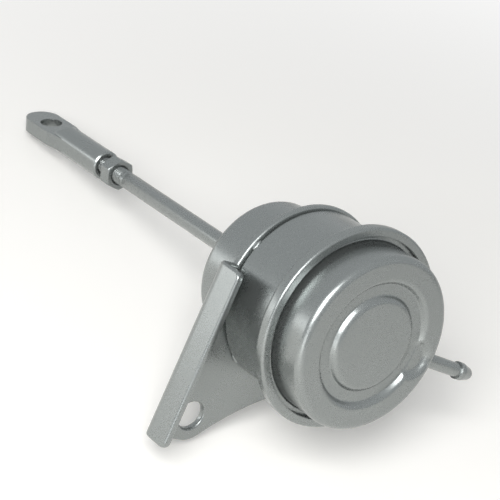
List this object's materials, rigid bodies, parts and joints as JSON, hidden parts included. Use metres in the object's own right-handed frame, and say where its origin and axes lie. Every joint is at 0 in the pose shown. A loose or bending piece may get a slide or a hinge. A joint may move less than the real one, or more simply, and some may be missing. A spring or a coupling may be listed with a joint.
{
  "type": "wastegate actuator",
  "caption": "Diaphragm actuator: crimped can in a stamped bracket, front cover with a hose nipple, and a sliding rod with a lock nut and a flattened eye end.",
  "frame": {"origin": "on the rod's axis, at the bracket's mounting face", "axes": "+X along the rod towards the front cover, +Z along the eye hole, up"},
  "size_m": [0.1994, 0.1006, 0.0732],
  "materials": {
    "plated_steel": "satin silver-grey",
    "bare_steel": "drawn",
    "rubber": "moulded",
    "bronze": "sintered"
  },
  "bodies": {
    "housing": {"bracket": "plated_steel", "rear_can": "plated_steel", "front_cover": "plated_steel", "hose_nipple": "plated_steel", "diaphragm": "rubber", "spring_seat": "bare_steel", "return_spring": "bare_steel", "guide_housing": "bare_steel", "guide_bush": "bronze", "rod_seal": "rubber", "seal_cap": "bare_steel"},
    "rod": {"actuator_rod": "plated_steel", "piston": "bare_steel", "retainer_plate": "bare_steel", "piston_washer": "bare_steel", "lock_nut": "plated_steel", "rod_end": "plated_steel"}
  },
  "joints": [
    {"name": "rod_slide", "type": "slide", "parent": "housing", "child": "rod", "axis": [-1, 0, 0], "range_m": [0, 0.012], "stiffness_N_per_m": 6000, "springref_m": -0.012, "deforming": ["return_spring", "diaphragm"]}
  ]
}
